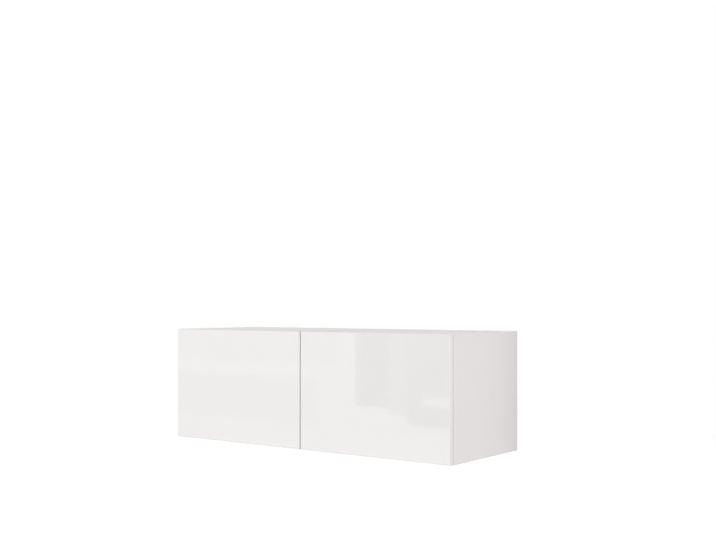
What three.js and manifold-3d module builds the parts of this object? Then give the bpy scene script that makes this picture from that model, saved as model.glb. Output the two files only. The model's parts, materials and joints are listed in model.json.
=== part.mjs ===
// A wall-hung media console: a white carcass with two handleless flaps that drop down.
// Millimetres, +Z up, the front faces -Y. The origin is where the wall rail lies on the wall.

import * as THREE from "three";
import { mergeVertices } from "three/addons/utils/BufferGeometryUtils.js";
import Module from "manifold-3d";

const wasm = await Module();
wasm.setup();

// Overall size with the flaps closed
const width = 1125;
const height = 375;
const depth = 390;

// Boards of the carcass
const board = 15;
const backThickness = 3;
const backSetIn = 15;
const backLift = 1;
const grooveDepth = 5;

// Clearances that mating pieces share, and the overrun of every cut
const fitGap = 0.3;
const overrun = 1;

// Fronts
const frontThickness = 15;
const frontGap = 1.5;
const frontSpacing = 3;
const frontReveal = 1;
const frontSkin = 3;
const edgeRound = 2;
const backEdgeRound = 0.8;
const lowerRound = 4;
const openAngle = Math.PI / 2;

// Flap hinges: a cup let into the flap, with a cranked arm on one pin
const hingeInset = 110;
const pinRadius = 1.25;
const pinOverhang = 1.5;
const eyeWall = 0.95;
const eyeWidth = 12;
const eyeGap = 0.4;
const swingGap = 0.5;
const cupWall = 0.8;
const cupWidth = 42;
const cupCorner = 3;
const cupHeadroom = 6;
const flangeWidth = 58;
const flangeThickness = 1;
const lugThickness = 2;
const armThickness = 3;
const armGap = 1;
const armCorner = 2;
const plateSetBack = 4;
const plateLength = 48;
const plateWidth = 34;
const plateCorner = 4;
const plateMargin = 3;
const hingeScrewRadius = 2.1;
const hingeScrewInset = 13;

// Flap stays: a slotted arm on the flap that slides over a stud on the side panel
const stayLead = THREE.MathUtils.degToRad(39);
const stayStandOff = 12;
const stayTailRoom = 42;
const stayPlate = 2;
const stayPlateWidth = 26;
const stayPlateHeight = 46;
const stayCorner = 5;
const stayArmThickness = 2;
const stayArmHalfWidth = 7;
const stayLug = 2;
const stayPinRadius = 2.5;
const stayHeadRadius = 4.5;
const stayHeadThickness = 2;
const stayFootWidth = 24;
const stayFootHeight = 44;
const studRadius = 3;
const studShoulder = 5.5;
const slotGap = 0.4;
const slotRoom = 4;
const nutRadius = 6.5;
const nutThickness = 5;
const nutSkin = 1;

// Push latches under the top panel
const latchWidth = 14;
const latchHeight = 13;
const latchLength = 56;
const latchSetBack = 1;
const latchBoreDepth = 48;
const latchCorner = 2;
const plungerRadius = 3.5;
const plungerTip = 1;
const plungerLength = 44;
const strikeRadius = 8;
const strikeThickness = 0.8;
const bumperRadius = 4;
const bumperInset = 40;

// Wall rail and the two cabinet hangers
const railThickness = 2;
const railOffset = 7;
const railDrop = 46;
const railLip = 16;
const railFlange = 30;
const railEndRoom = 8;
const railHoleRadius = 4;
const railHoleShares = [-0.8, -0.3, 0.3, 0.8];
const hangerWidth = 16;
const hangerDepth = 36;
const hangerHeight = 58;
const hangerTopRoom = 6;
const hangerScrewRadius = 4;
const hangerScrewDepth = 8;
const hangerScrewShares = [0.28, 0.72];
const hookThickness = 3;
const hookHeight = 12;
const hookInsert = 20;
const hookTipRoom = 4;
const hookWindow = 6;
const coverWall = 1.5;
const coverRoom = 1;

// Cam locks that hold the corners together
const camRadius = 7.2;
const camDepth = 12;
const camInset = 24;
const camSetBack = 50;
const camSlotWidth = 1.6;
const camSlotLength = 9;
const camSlotDepth = 2.5;

// Cable outlets in the back panel
const outletRadius = 30;
const outletRise = 70;
const outletWall = 1.7;
const outletFlange = 4.5;
const outletFlangeThickness = 2;
const outletTail = 1;

// Facets of round pieces
const roundSides = 24;
const smallSides = 12;
const wideSides = 32;
const hexSides = 6;
const arcSteps = 3;

// Places that follow from the sizes
const frontFace = -depth;
const flapBack = frontFace + frontThickness;
const carcassFront = flapBack + frontGap;
const flapBottom = frontReveal;
const flapTop = height - frontReveal;
const innerSide = width / 2 - board;
const ceiling = height - board;
const backRear = -backSetIn;
const backFront = backRear - backThickness;
const compartmentCentre = (innerSide + board / 2) / 2;

// The pin of a flap: as near the corner as the cup allows, so that the rounded edge clears the carcass
const eyeRadius = pinRadius + fitGap + eyeWall;
const cupReach = eyeRadius + eyeGap + cupWall;
const pinDepth = frontThickness - frontSkin - fitGap - cupReach;
const swingReach = pinDepth + frontGap - swingGap - lowerRound;
const pinRise = lowerRound + Math.sqrt(swingReach ** 2 - (pinDepth - lowerRound) ** 2);
const pinY = flapBack - pinDepth;
const pinZ = flapBottom + pinRise;
const floorRise = board - pinZ;
const armUnder = Math.max(pinDepth, floorRise) + armGap;
const armOver = armUnder + armThickness;
const cupTop = armOver + cupHeadroom + cupWall;
const plateStart = carcassFront + plateSetBack - pinY;

// A stay's two pins lie on one circle round the flap's pin, so the arm turns at half the flap's rate
const stayHalfLead = stayLead / 2;
const stayHalfOpen = (stayLead + openAngle) / 2;
const stayGrowth = 2 * (Math.sin(stayHalfOpen) - Math.sin(stayHalfLead));
const stayTailShare = Math.sin(stayLead) + stayGrowth * Math.cos(stayHalfLead);
const stayReach = (backFront - pinY - stayTailRoom) / stayTailShare;
const stayPinOut = pinDepth + stayStandOff;
const stayPinAngle = Math.acos(stayPinOut / stayReach);
const stayStudAngle = stayPinAngle - stayLead;
const stayPinUp = stayReach * Math.sin(stayPinAngle);
const stayStudOut = stayReach * Math.cos(stayStudAngle);
const stayStudUp = stayReach * Math.sin(stayStudAngle);
const stayClosedSpan = 2 * stayReach * Math.sin(stayHalfLead);
const stayOpenSpan = 2 * stayReach * Math.sin(stayHalfOpen);
const stayTilt = stayPinAngle - stayHalfLead - Math.PI / 2;
const stayLugNear = stayPlate + fitGap;
const stayArmNear = stayLugNear + stayLug + fitGap;
const stayArmFar = stayArmNear + stayArmThickness;
const stayHeadNear = stayArmFar + fitGap;

// Heights of the rail and of the hooks on it
const lipTop = height - railDrop;
const webTop = lipTop - railLip;
const railBottom = webTop - railFlange;
const railFaceHeight = (railBottom + webTop) / 2;
const hookBottom = lipTop + fitGap;
const hookTop = hookBottom + hookHeight;
const hangerTop = ceiling - hangerTopRoom;
const hangerBottom = hangerTop - hangerHeight;
const hangerFront = backFront - hangerDepth;
const hangerCentre = innerSide - hangerWidth / 2;

// Finishes
function finish(color, roughness, metalness) {
  return () => new THREE.MeshStandardMaterial({ color, roughness, metalness });
}
const glossWhite = finish(0xefeeec, 0.08, 0);
const laminateWhite = finish(0xe4dfde, 0.45, 0);
const hardboardWhite = finish(0xe2dfdb, 0.6, 0);
const steel = finish(0xb8babd, 0.3, 1);
const zinc = finish(0xc4c6c8, 0.35, 1);
const whitePlastic = finish(0xe8e7e4, 0.4, 0);
const greyPlastic = finish(0xa9abad, 0.45, 0);
const clearRubber = finish(0xd5d5d2, 0.6, 0);

// Turns a closed geometry into a solid that can be joined and cut
function solidOf(geometry) {
  geometry.deleteAttribute("normal");
  geometry.deleteAttribute("uv");
  const merged = mergeVertices(geometry);
  return new wasm.Manifold(
    new wasm.Mesh({
      numProp: 3,
      vertProperties: merged.attributes.position.array,
      triVerts: new Uint32Array(merged.index.array),
    }),
  );
}

function join(first, ...others) {
  return others.reduce((whole, piece) => whole.add(piece), first);
}

function cut(first, ...tools) {
  return tools.reduce((rest, tool) => rest.subtract(tool), first);
}

// Adds a solid to a group as one named mesh
function add(group, name, solid, material) {
  const { numProp, vertProperties, triVerts } = solid.getMesh();
  const geometry = new THREE.BufferGeometry();
  geometry.setAttribute("position", new THREE.BufferAttribute(vertProperties, numProp));
  geometry.setIndex(new THREE.BufferAttribute(triVerts, 1));
  geometry.computeVertexNormals();
  const mesh = new THREE.Mesh(geometry, material());
  mesh.name = name;
  group.add(mesh);
  return mesh;
}

// A box between two places on each axis
function block([x0, x1], [y0, y1], [z0, z1]) {
  const geometry = new THREE.BoxGeometry(x1 - x0, y1 - y0, z1 - z0);
  geometry.translate((x0 + x1) / 2, (y0 + y1) / 2, (z0 + z1) / 2);
  return solidOf(geometry);
}

// A round bar along an axis, from start to end, with its centre at a and b on the other two axes
function bar(axis, radius, [start, end], [a, b], sides = roundSides) {
  const middle = (start + end) / 2;
  const geometry = new THREE.CylinderGeometry(radius, radius, end - start, sides);
  if (axis === "x") geometry.rotateZ(Math.PI / 2).translate(middle, a, b);
  if (axis === "y") geometry.translate(a, middle, b);
  if (axis === "z") geometry.rotateX(Math.PI / 2).translate(a, b, middle);
  return solidOf(geometry);
}

// An outline swept straight along an axis: Y and Z across it for X, X and Z for Y, X and Y for Z
function sweep(axis, shape, [start, end]) {
  const options = { depth: end - start, bevelEnabled: false, curveSegments: arcSteps };
  const geometry = new THREE.ExtrudeGeometry(shape, options);
  const x = new THREE.Vector3(1, 0, 0);
  const y = new THREE.Vector3(0, 1, 0);
  const z = new THREE.Vector3(0, 0, 1);
  const turn = new THREE.Matrix4();
  if (axis === "x") turn.makeBasis(y, z, x).setPosition(start, 0, 0);
  if (axis === "y") turn.makeBasis(x, z, y.negate()).setPosition(0, end, 0);
  if (axis === "z") turn.setPosition(0, 0, start);
  return solidOf(geometry.applyMatrix4(turn));
}

// A rectangle whose corners have their own radii, from the low corner round to the left upper one
function rounded([u0, u1], [v0, v1], lowLeft, lowRight = lowLeft, upRight = lowLeft, upLeft = lowLeft) {
  const shape = new THREE.Shape();
  const corner = (u, v, radius, start) => {
    shape.absarc(u, v, radius, start, start + Math.PI / 2, false);
  };
  corner(u0 + lowLeft, v0 + lowLeft, lowLeft, Math.PI);
  corner(u1 - lowRight, v0 + lowRight, lowRight, -Math.PI / 2);
  corner(u1 - upRight, v1 - upRight, upRight, 0);
  corner(u0 + upLeft, v1 - upLeft, upLeft, Math.PI / 2);
  return shape;
}

// A bar outline with round ends, from u0 to u1
function stadium(u0, u1, radius) {
  const shape = new THREE.Shape();
  shape.absarc(u0, 0, radius, Math.PI / 2, (3 * Math.PI) / 2, false);
  shape.absarc(u1, 0, radius, -Math.PI / 2, Math.PI / 2, false);
  return shape;
}

function polygon(points) {
  return new THREE.Shape(points.map(([u, v]) => new THREE.Vector2(u, v)));
}

// A profile of radius and place, turned round the Y axis
function lathe(points, sides = roundSides) {
  const profile = points.map(([radius, y]) => new THREE.Vector2(radius, y));
  return solidOf(new THREE.LatheGeometry(profile, sides));
}

// A range centred on a place
function about(centre, size) {
  return [centre - size / 2, centre + size / 2];
}

// The range of X from one distance to another, inwards from a side panel's inner face
function inwards(side, from, to) {
  const ends = [side * (innerSide - from), side * (innerSide - to)];
  return ends.sort((a, b) => a - b);
}

const sides = [
  { word: "left", side: -1 },
  { word: "right", side: 1 },
];

// The carcass boards
function makeCarcass(group) {
  const grooveTop = ceiling + grooveDepth;
  const groove = [backFront - fitGap, backRear + fitGap];
  for (const { word, side } of sides) {
    const panel = block(inwards(side, -board, 0), [carcassFront, 0], [0, height]);
    const slot = block(inwards(side, -grooveDepth, overrun), groove, [backLift - fitGap, grooveTop]);
    add(group, `${word}_side_panel`, cut(panel, slot), laminateWhite);
  }
  const camPlaces = [carcassFront + camSetBack, backFront - camSetBack];
  const camBore = camRadius + fitGap;
  const camHole = camDepth + fitGap;
  const boresAt = (z) => sides.flatMap(({ side }) =>
    camPlaces.map((y) => bar("z", camBore, z, [side * (innerSide - camInset), y])));
  const across = [-innerSide, innerSide];
  const top = block(across, [carcassFront, 0], [ceiling, height]);
  const topGroove = block(about(0, width), groove, [ceiling - overrun, grooveTop]);
  const topBores = boresAt([ceiling - overrun, ceiling + camHole]);
  add(group, "top_panel", cut(top, topGroove, ...topBores), laminateWhite);
  const bottom = block(across, [carcassFront, backFront], [0, board]);
  const bottomBores = boresAt([board - camHole, board + overrun]);
  add(group, "bottom_panel", cut(bottom, ...bottomBores), laminateWhite);
  const divider = block(about(0, board), [carcassFront, backFront], [board, ceiling]);
  add(group, "centre_divider", divider, laminateWhite);
  makeCamLocks(group, camPlaces);
}

// Round cams let flush into the top and bottom panels, with a cross slot that shows inside
function makeCamLocks(group, places) {
  const levels = [
    { level: "top", face: ceiling, into: 1 },
    { level: "bottom", face: board, into: -1 },
  ];
  const ends = ["front", "rear"];
  for (const { word, side } of sides)
    for (const { level, face, into } of levels)
      places.forEach((y, i) => {
        const x = side * (innerSide - camInset);
        const span = (start, end) => [face + into * start, face + into * end].sort((a, b) => a - b);
        const disc = bar("z", camRadius, span(0, camDepth), [x, y]);
        const slotDeep = span(-overrun, camSlotDepth);
        const long = block(about(x, camSlotLength), about(y, camSlotWidth), slotDeep);
        const short = block(about(x, camSlotWidth), about(y, camSlotLength), slotDeep);
        add(group, `cam_lock_${word}_${level}_${ends[i]}`, cut(disc, long, short), zinc);
      });
}

// The back panel in its grooves, with windows for the hooks and round cable outlets
function makeBack(group) {
  const half = innerSide + grooveDepth - fitGap;
  const sheet = [backFront, backRear];
  const through = [backFront - overrun, backRear + overrun];
  const panel = block([-half, half], sheet, [backLift, ceiling + grooveDepth - fitGap]);
  const outletHeight = board + outletRise;
  const windows = sides.map(({ side }) =>
    block(
      about(side * hangerCentre, hookThickness + 2 * hookWindow),
      through,
      [hookBottom - hookWindow, hookTop + hookWindow],
    ));
  const outlets = sides.map(({ side }) =>
    bar("y", outletRadius, through, [side * compartmentCentre, outletHeight], wideSides));
  add(group, "back_panel", cut(panel, ...windows, ...outlets), hardboardWhite);
  for (const { word, side } of sides) {
    const sleeve = outletRadius - fitGap;
    const bore = sleeve - outletWall;
    const rim = outletRadius + outletFlange;
    const ring = lathe(
      [
        [bore, backFront - outletFlangeThickness],
        [rim, backFront - outletFlangeThickness],
        [rim, backFront],
        [sleeve, backFront],
        [sleeve, backRear + outletTail],
        [bore, backRear + outletTail],
        [bore, backFront - outletFlangeThickness],
      ],
      wideSides,
    );
    const placed = ring.translate([side * compartmentCentre, 0, outletHeight]);
    add(group, `${word}_cable_grommet`, placed, whitePlastic);
  }
}

// The steel rail on the wall, stepped so that the hooks drop behind its lip
function makeRail(group) {
  const half = innerSide - railEndRoom;
  const lipBack = railThickness - railOffset;
  const outline = polygon([
    [0, railBottom],
    [0, webTop],
    [lipBack, webTop],
    [lipBack, lipTop],
    [-railOffset, lipTop],
    [-railOffset, webTop - railThickness],
    [-railThickness, webTop - railThickness],
    [-railThickness, railBottom],
  ]);
  const holes = railHoleShares.map((share) =>
    bar("y", railHoleRadius, [-railThickness - overrun, overrun], [share * half, railFaceHeight]));
  add(group, "wall_rail", cut(sweep("x", outline, [-half, half]), ...holes), steel);
}

// A hanger in each upper rear corner: housing, hook through the back panel, and snap-on cover
function makeHangers(group) {
  const lipBack = railThickness - railOffset;
  const fingerFront = lipBack + fitGap;
  const fingerBack = fingerFront + hookThickness;
  const hookFront = backFront - hookInsert;
  const hookOutline = polygon([
    [hookFront, hookBottom],
    [fingerFront, hookBottom],
    [fingerFront, webTop + hookTipRoom],
    [fingerBack, webTop + hookTipRoom],
    [fingerBack, hookTop],
    [hookFront, hookTop],
  ]);
  for (const { word, side } of sides) {
    const centre = side * hangerCentre;
    const hook = sweep("x", hookOutline, about(centre, hookThickness));
    add(group, `${word}_hanger_hook`, hook, zinc);

    const housing = block(
      inwards(side, 0, hangerWidth),
      [hangerFront, backFront],
      [hangerBottom, hangerTop],
    );
    const hookSlot = block(
      about(centre, hookThickness + 2 * fitGap),
      [hookFront - fitGap, backFront + overrun],
      [hookBottom - fitGap, hookTop + fitGap],
    );
    const screwWells = hangerScrewShares.map((share) =>
      bar(
        "y",
        hangerScrewRadius,
        [hangerFront - overrun, hangerFront + hangerScrewDepth],
        [centre, hangerBottom + share * hangerHeight],
      ));
    add(group, `${word}_hanger_housing`, cut(housing, hookSlot, ...screwWells), greyPlastic);

    const roomFront = hangerFront - coverRoom;
    const shell = block(
      inwards(side, 0, hangerWidth + fitGap + coverWall),
      [roomFront - coverWall, backFront],
      [hangerBottom - fitGap - coverWall, hangerTop + fitGap + coverWall],
    );
    const room = block(
      inwards(side, -overrun, hangerWidth + fitGap),
      [roomFront, backFront + overrun],
      [hangerBottom - fitGap, hangerTop + fitGap],
    );
    add(group, `${word}_hanger_cover`, cut(shell, room), whitePlastic);
  }
}

// One hinge. Both groups have their origin on the pin: the cup and pin turn, the arm and plate stay
function makeHinge(fixed, moving, word, x) {
  const mouth = pinDepth;
  const cupSpan = [-cupReach, cupTop];
  const inner = ([low, high]) => [low + cupWall, high - cupWall];
  const outerBox = rounded(about(x, cupWidth), cupSpan, cupCorner);
  const innerBox = rounded(inner(about(x, cupWidth)), inner(cupSpan), cupCorner - cupWall);
  const flange = rounded(about(x, flangeWidth), cupSpan, cupCorner);
  const shell = join(
    sweep("y", outerBox, [-cupReach, mouth]),
    sweep("y", flange, [mouth - flangeThickness, mouth]),
  );
  const hollow = sweep("y", innerBox, [cupWall - cupReach, mouth + overrun]);
  const lugHole = pinRadius + fitGap;
  const lugPlaces = [-1, 1].map((end) => {
    const near = x + (end * eyeWidth) / 2 + end * fitGap;
    return [near, near + end * lugThickness].sort((a, b) => a - b);
  });
  const lugs = lugPlaces.map((span) =>
    join(
      block(span, [cupWall / 2 - cupReach, 0], [-eyeRadius, eyeRadius]),
      bar("x", eyeRadius, span, [0, 0]),
    ));
  const pinRoom = bar("x", lugHole, about(x, cupWidth / 2), [0, 0], smallSides);
  add(moving, `${word}_hinge_cup`, cut(join(cut(shell, hollow), ...lugs), pinRoom), steel);

  const pinHalf = eyeWidth / 2 + fitGap + lugThickness + pinOverhang;
  const pin = bar("x", pinRadius, [x - pinHalf, x + pinHalf], [0, 0], smallSides);
  add(moving, `${word}_hinge_pin`, pin, steel);

  const plateEnd = plateStart + plateLength;
  const neckBack = armThickness - eyeRadius;
  const crank = new THREE.Shape();
  crank.absarc(0, 0, eyeRadius, Math.PI, 2 * Math.PI + Math.acos(neckBack / eyeRadius), false);
  crank.lineTo(neckBack, armUnder);
  crank.lineTo(plateEnd - plateMargin, armUnder);
  crank.lineTo(plateEnd - plateMargin, armOver);
  crank.absarc(armCorner - eyeRadius, armOver - armCorner, armCorner, Math.PI / 2, Math.PI, false);
  const footWidth = plateWidth - 2 * plateMargin;
  const footSpan = [plateStart + plateMargin, plateEnd - plateMargin];
  const foot = sweep(
    "z",
    rounded(about(x, footWidth), footSpan, plateCorner),
    [armUnder, armOver],
  );
  const eyeHole = bar("x", lugHole, about(x, 2 * eyeWidth), [0, 0], smallSides);
  const screwPlaces = [plateStart + hingeScrewInset, plateEnd - hingeScrewInset];
  const screwHoles = screwPlaces.map((y) =>
    bar("z", hingeScrewRadius, [floorRise - overrun, armOver + overrun], [x, y], smallSides));
  const arm = join(sweep("x", crank, about(x, eyeWidth)), foot);
  add(fixed, `${word}_hinge_arm`, cut(arm, eyeHole, ...screwHoles), steel);

  const plateOutline = rounded(about(x, plateWidth), [plateStart, plateEnd], plateCorner);
  const plate = sweep("z", plateOutline, [floorRise, armUnder]);
  add(fixed, `${word}_hinge_plate`, cut(plate, ...screwHoles), zinc);
}

// The room that one hinge cup takes in the back of its flap
function hingeMortise(x) {
  const spanUp = [-cupReach - fitGap, cupTop + fitGap];
  const corner = cupCorner + fitGap;
  const cup = rounded(about(x, cupWidth + 2 * fitGap), spanUp, corner);
  const flange = rounded(about(x, flangeWidth + 2 * fitGap), spanUp, corner);
  return join(
    sweep("y", cup, [-cupReach - fitGap, pinDepth + overrun]),
    sweep("y", flange, [pinDepth - flangeThickness - fitGap, pinDepth + overrun]),
  );
}

// A flap, its hinges and what is screwed to it, in groups whose origin is on the flap's pin
function makeFlap(fixed, moving, { word, side }) {
  const ends = [(side * frontSpacing) / 2, (side * width) / 2].sort((a, b) => a - b);
  const faces = [pinDepth - frontThickness, pinDepth];
  const edges = [flapBottom - pinZ, flapTop - pinZ];
  const profile = rounded(faces, edges, edgeRound, lowerRound, backEdgeRound, edgeRound);
  const plan = rounded(ends, faces, edgeRound, edgeRound, backEdgeRound, backEdgeRound);
  const outer = side * (width / 2 - hingeInset);
  const inner = side * (frontSpacing / 2 + hingeInset);
  const whole = sweep("x", profile, ends).intersect(sweep("z", plan, edges));
  const flap = cut(whole, hingeMortise(outer), hingeMortise(inner));
  add(moving, `${word}_flap`, flap, glossWhite);
  makeHinge(fixed, moving, `${word}_outer`, outer);
  makeHinge(fixed, moving, `${word}_inner`, inner);

  const bumperHeight = height - board / 2 - pinZ;
  const bumperSpan = [pinDepth, pinDepth + frontGap - fitGap];
  const bumpers = { outer: width / 2 - bumperInset, inner: frontSpacing / 2 + bumperInset };
  for (const [end, x] of Object.entries(bumpers)) {
    const pad = bar("y", bumperRadius, bumperSpan, [side * x, bumperHeight]);
    add(moving, `${word}_${end}_bumper`, pad, clearRubber);
  }

  const strike = bar(
    "y",
    strikeRadius,
    [pinDepth, pinDepth + strikeThickness],
    [side * compartmentCentre, ceiling - latchHeight / 2 - pinZ],
  );
  add(moving, `${word}_latch_strike`, strike, steel);
}

// A push latch under the top panel: a housing and the plunger that springs out of it
function makeLatch(fixed, { word, side }) {
  const x = side * compartmentCentre;
  const z = ceiling - latchHeight / 2;
  const housingFront = carcassFront + latchSetBack;
  const outline = rounded(about(x, latchWidth), [ceiling - latchHeight, ceiling], latchCorner);
  const housing = sweep("y", outline, [housingFront, housingFront + latchLength]);
  const boreSpan = [housingFront - overrun, housingFront + latchBoreDepth];
  const bore = bar("y", plungerRadius + fitGap, boreSpan, [x, z]);
  add(fixed, `${word}_latch_housing`, cut(housing, bore), greyPlastic);

  const tip = flapBack + strikeThickness + fitGap;
  const plunger = lathe([
    [0, tip],
    [plungerRadius - plungerTip, tip],
    [plungerRadius, tip + plungerTip],
    [plungerRadius, tip + plungerLength],
    [0, tip + plungerLength],
  ]);
  add(fixed, `${word}_latch_plunger`, plunger.translate([x, 0, z]), whitePlastic);
}

// A stay: stud plate and nut on the side panel, slotted arm, and bracket on the flap
function makeStay(fixed, moving, { word, side }) {
  const range = (from, to) => inwards(side, from, to);
  const stud = [stayStudOut, stayStudUp];
  const studEnd = stayHeadNear + nutThickness - nutSkin;
  const plateOutline = rounded(
    about(stayStudOut, stayPlateWidth),
    about(stayStudUp, stayPlateHeight),
    stayCorner,
  );
  const studPlate = join(
    sweep("x", plateOutline, range(0, stayPlate)),
    bar("x", studShoulder, range(stayPlate / 2, stayArmNear - fitGap), stud),
    bar("x", studRadius, range(stayPlate / 2, studEnd - fitGap), stud),
  );
  add(fixed, `${word}_stay_stud`, studPlate, steel);

  const nut = cut(
    bar("x", nutRadius, range(stayHeadNear, stayHeadNear + nutThickness), stud, hexSides),
    bar("x", studRadius + fitGap, range(stayHeadNear - overrun, studEnd), stud),
  );
  add(fixed, `${word}_stay_nut`, nut, zinc);

  const outline = stadium(0, stayOpenSpan, stayArmHalfWidth);
  const slot = stadium(stayClosedSpan - slotRoom, stayOpenSpan, studRadius + slotGap);
  outline.holes.push(slot);
  const armSpan = range(stayArmNear, stayArmFar);
  const eye = bar("x", stayPinRadius + fitGap, range(stayArmNear - overrun, stayArmFar + overrun), [0, 0]);
  const arm = add(moving, `${word}_stay_arm`, cut(sweep("x", outline, armSpan), eye), steel);
  arm.position.set(0, stayPinOut, stayPinUp);
  arm.rotation.x = stayTilt;

  const pin = [stayPinOut, stayPinUp];
  const footOutline = rounded(
    range(stayLugNear, stayLugNear + stayFootWidth),
    about(stayPinUp, stayFootHeight),
    stayCorner,
  );
  const lugSpan = range(stayLugNear, stayLugNear + stayLug);
  const lugRound = stayArmHalfWidth;
  const bracket = join(
    sweep("y", footOutline, [pinDepth, pinDepth + stayLug]),
    block(lugSpan, [pinDepth, stayPinOut], about(stayPinUp, 2 * lugRound)),
    bar("x", lugRound, lugSpan, pin),
    bar("x", stayPinRadius, range(stayLugNear + stayLug / 2, stayHeadNear + stayHeadThickness), pin),
    bar("x", stayHeadRadius, range(stayHeadNear, stayHeadNear + stayHeadThickness), pin),
  );
  add(moving, `${word}_stay_bracket`, bracket, steel);
}

const carcass = new THREE.Group();
makeCarcass(carcass);
makeBack(carcass);
makeRail(carcass);
makeHangers(carcass);
for (const entry of sides) {
  const fixed = new THREE.Group();
  const moving = new THREE.Group();
  fixed.position.set(0, pinY, pinZ);
  moving.position.copy(fixed.position);
  makeFlap(fixed, moving, entry);
  makeStay(fixed, moving, entry);
  makeLatch(carcass, entry);
  carcass.add(fixed, moving);
}
carcass.position.z = -railFaceHeight;

const mediaConsole = new THREE.Group();
mediaConsole.name = "media_console";
mediaConsole.add(carcass);

export default mediaConsole;
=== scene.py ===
"""Finishes for a wall-hung media console with two drop-down flaps, laid out as a Blender add-on.

Metres, +Z up, the fronts face -Y. The origin is where the wall rail lies on the wall."""

import json
import math
from contextlib import contextmanager

import bmesh
import bpy
from bpy.props import FloatProperty, FloatVectorProperty, PointerProperty
from mathutils import Matrix, Vector

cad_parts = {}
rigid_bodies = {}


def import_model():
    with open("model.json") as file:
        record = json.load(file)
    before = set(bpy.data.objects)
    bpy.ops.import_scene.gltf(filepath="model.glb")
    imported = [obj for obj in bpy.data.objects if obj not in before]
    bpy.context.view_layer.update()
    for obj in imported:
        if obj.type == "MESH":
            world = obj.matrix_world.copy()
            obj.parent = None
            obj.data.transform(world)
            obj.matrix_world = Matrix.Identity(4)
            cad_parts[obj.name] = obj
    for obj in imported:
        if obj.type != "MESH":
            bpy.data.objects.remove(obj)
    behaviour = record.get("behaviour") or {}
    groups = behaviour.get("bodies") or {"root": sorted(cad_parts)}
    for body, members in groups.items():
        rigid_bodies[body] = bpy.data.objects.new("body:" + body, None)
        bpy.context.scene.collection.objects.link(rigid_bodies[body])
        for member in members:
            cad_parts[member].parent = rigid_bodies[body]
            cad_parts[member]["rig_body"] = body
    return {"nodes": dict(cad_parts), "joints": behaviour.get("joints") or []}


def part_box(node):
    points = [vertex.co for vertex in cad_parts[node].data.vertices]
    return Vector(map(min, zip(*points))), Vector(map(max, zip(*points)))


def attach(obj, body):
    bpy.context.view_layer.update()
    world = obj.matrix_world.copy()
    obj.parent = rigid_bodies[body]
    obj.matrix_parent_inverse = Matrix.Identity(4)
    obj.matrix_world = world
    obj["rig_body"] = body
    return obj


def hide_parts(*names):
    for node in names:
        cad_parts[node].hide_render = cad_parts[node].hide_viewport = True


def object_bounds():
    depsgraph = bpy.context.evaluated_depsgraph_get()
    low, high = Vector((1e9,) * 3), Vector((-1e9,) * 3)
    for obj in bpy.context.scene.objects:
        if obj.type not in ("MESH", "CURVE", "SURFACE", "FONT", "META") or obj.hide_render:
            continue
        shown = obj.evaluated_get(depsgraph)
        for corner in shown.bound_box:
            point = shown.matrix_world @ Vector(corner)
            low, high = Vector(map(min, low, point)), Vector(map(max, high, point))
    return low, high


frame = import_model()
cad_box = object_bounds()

bl_info = {
    "name": "Media Console",
    "version": (1, 0, 0),
    "blender": (4, 5, 0),
    "location": "3D View > Sidebar > Console",
    "description": "Builds the finished boards, fronts and fittings of a wall-hung media console",
    "category": "Add Mesh",
}

# What the frame says of each node, and of the joints
JOINT = {joint["name"]: joint for joint in frame["joints"]}

# The sign of X on each side, and the ends of the flaps, where their hinges and bumpers are
SIDES = {"left": -1, "right": 1}
FLAP_ENDS = [f"{word}_{place}" for word in SIDES for place in ("outer", "inner")]
AXES = {"X": Vector((1, 0, 0)), "Y": Vector((0, 1, 0)), "Z": Vector((0, 0, 1))}

# How close a point lies to a face to count as on it; a magnet has as much play in its seat
NEAR = 1e-5
# How far a cutter runs past a face
OVERRUN = 0.002
# The share of a unit direction along an axis from which an edge follows it, and a face is square to it
ALONG = 0.99
SQUARE = 0.995
# From which angle an edge is rounded when a piece is softened, and stays a crease when it is smoothed
SHARP_ANGLE = math.radians(40)
CREASE_ANGLE = math.radians(35)

# Facets of a full turn on wide, small and slim round pieces, and the sides of a nut
ROUND = 48
SMALL_ROUND = 32
SLIM_ROUND = 24
NUT_SIDES = 6
# Steps from the rim of a bumper to the top of its dome
DOME_STEPS = 8

# The photograph's camera, in pixels of its frame
PHOTO_WIDTH = 716
PHOTO_HEIGHT = 540
FOCAL_PIXELS = 1008.1
CENTRE_PIXEL = 396.0
HORIZON_PIXEL = 306.3

# Holes and screws along their pieces: the rail's and the back panel's as shares from the middle
# outwards, a latch's from its front and a hanger's from its lower end
RAIL_HOLE_SHARES = (-0.8, -0.3, 0.3, 0.8)
BACK_SCREW_SHARES = (-0.92, -0.48, 0.0, 0.48, 0.92)
LATCH_SCREW_SHARES = (0.3, 0.88)
HANGER_SCREW_SHARES = (0.28, 0.72)
# The half length and half width of a cross slot, as shares of the radius of its face
CAM_CROSS = (0.62, 0.11)
SCREW_CROSS = (0.62, 0.13)
# A screw head's rounding, and where its cross slot ends, as shares of its height
HEAD_ROUNDING = 0.6
HEAD_FLOOR = 0.35
# A cam's rounded rim and the ring in its face, as shares of its radius
CAM_RIM = 1 / 14
CAM_RING = 0.82
# How deep that ring and the cross slot go, as shares of the cam's depth
CAM_RING_DEPTH = 1 / 30
CAM_CROSS_DEPTH = 1 / 5
# The turn of the first cam and screw, and what each one after it adds, in degrees
CAM_TURNS = (20, 31)
SCREW_TURNS = (17, 43)
# How much of the rail's sheet its folds are rounded by, and of an outlet's rim its edges
FOLD_SHARE = 0.7
OUTLET_SHARE = 0.4
# A plunger's magnet as a share of its radius; its seat, its face and its rounding as shares of the tip
MAGNET_SHARE = 0.6
MAGNET_DEPTH = 0.6
MAGNET_SINK = 1 / 5
MAGNET_ROUNDING = 1 / 6
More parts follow.
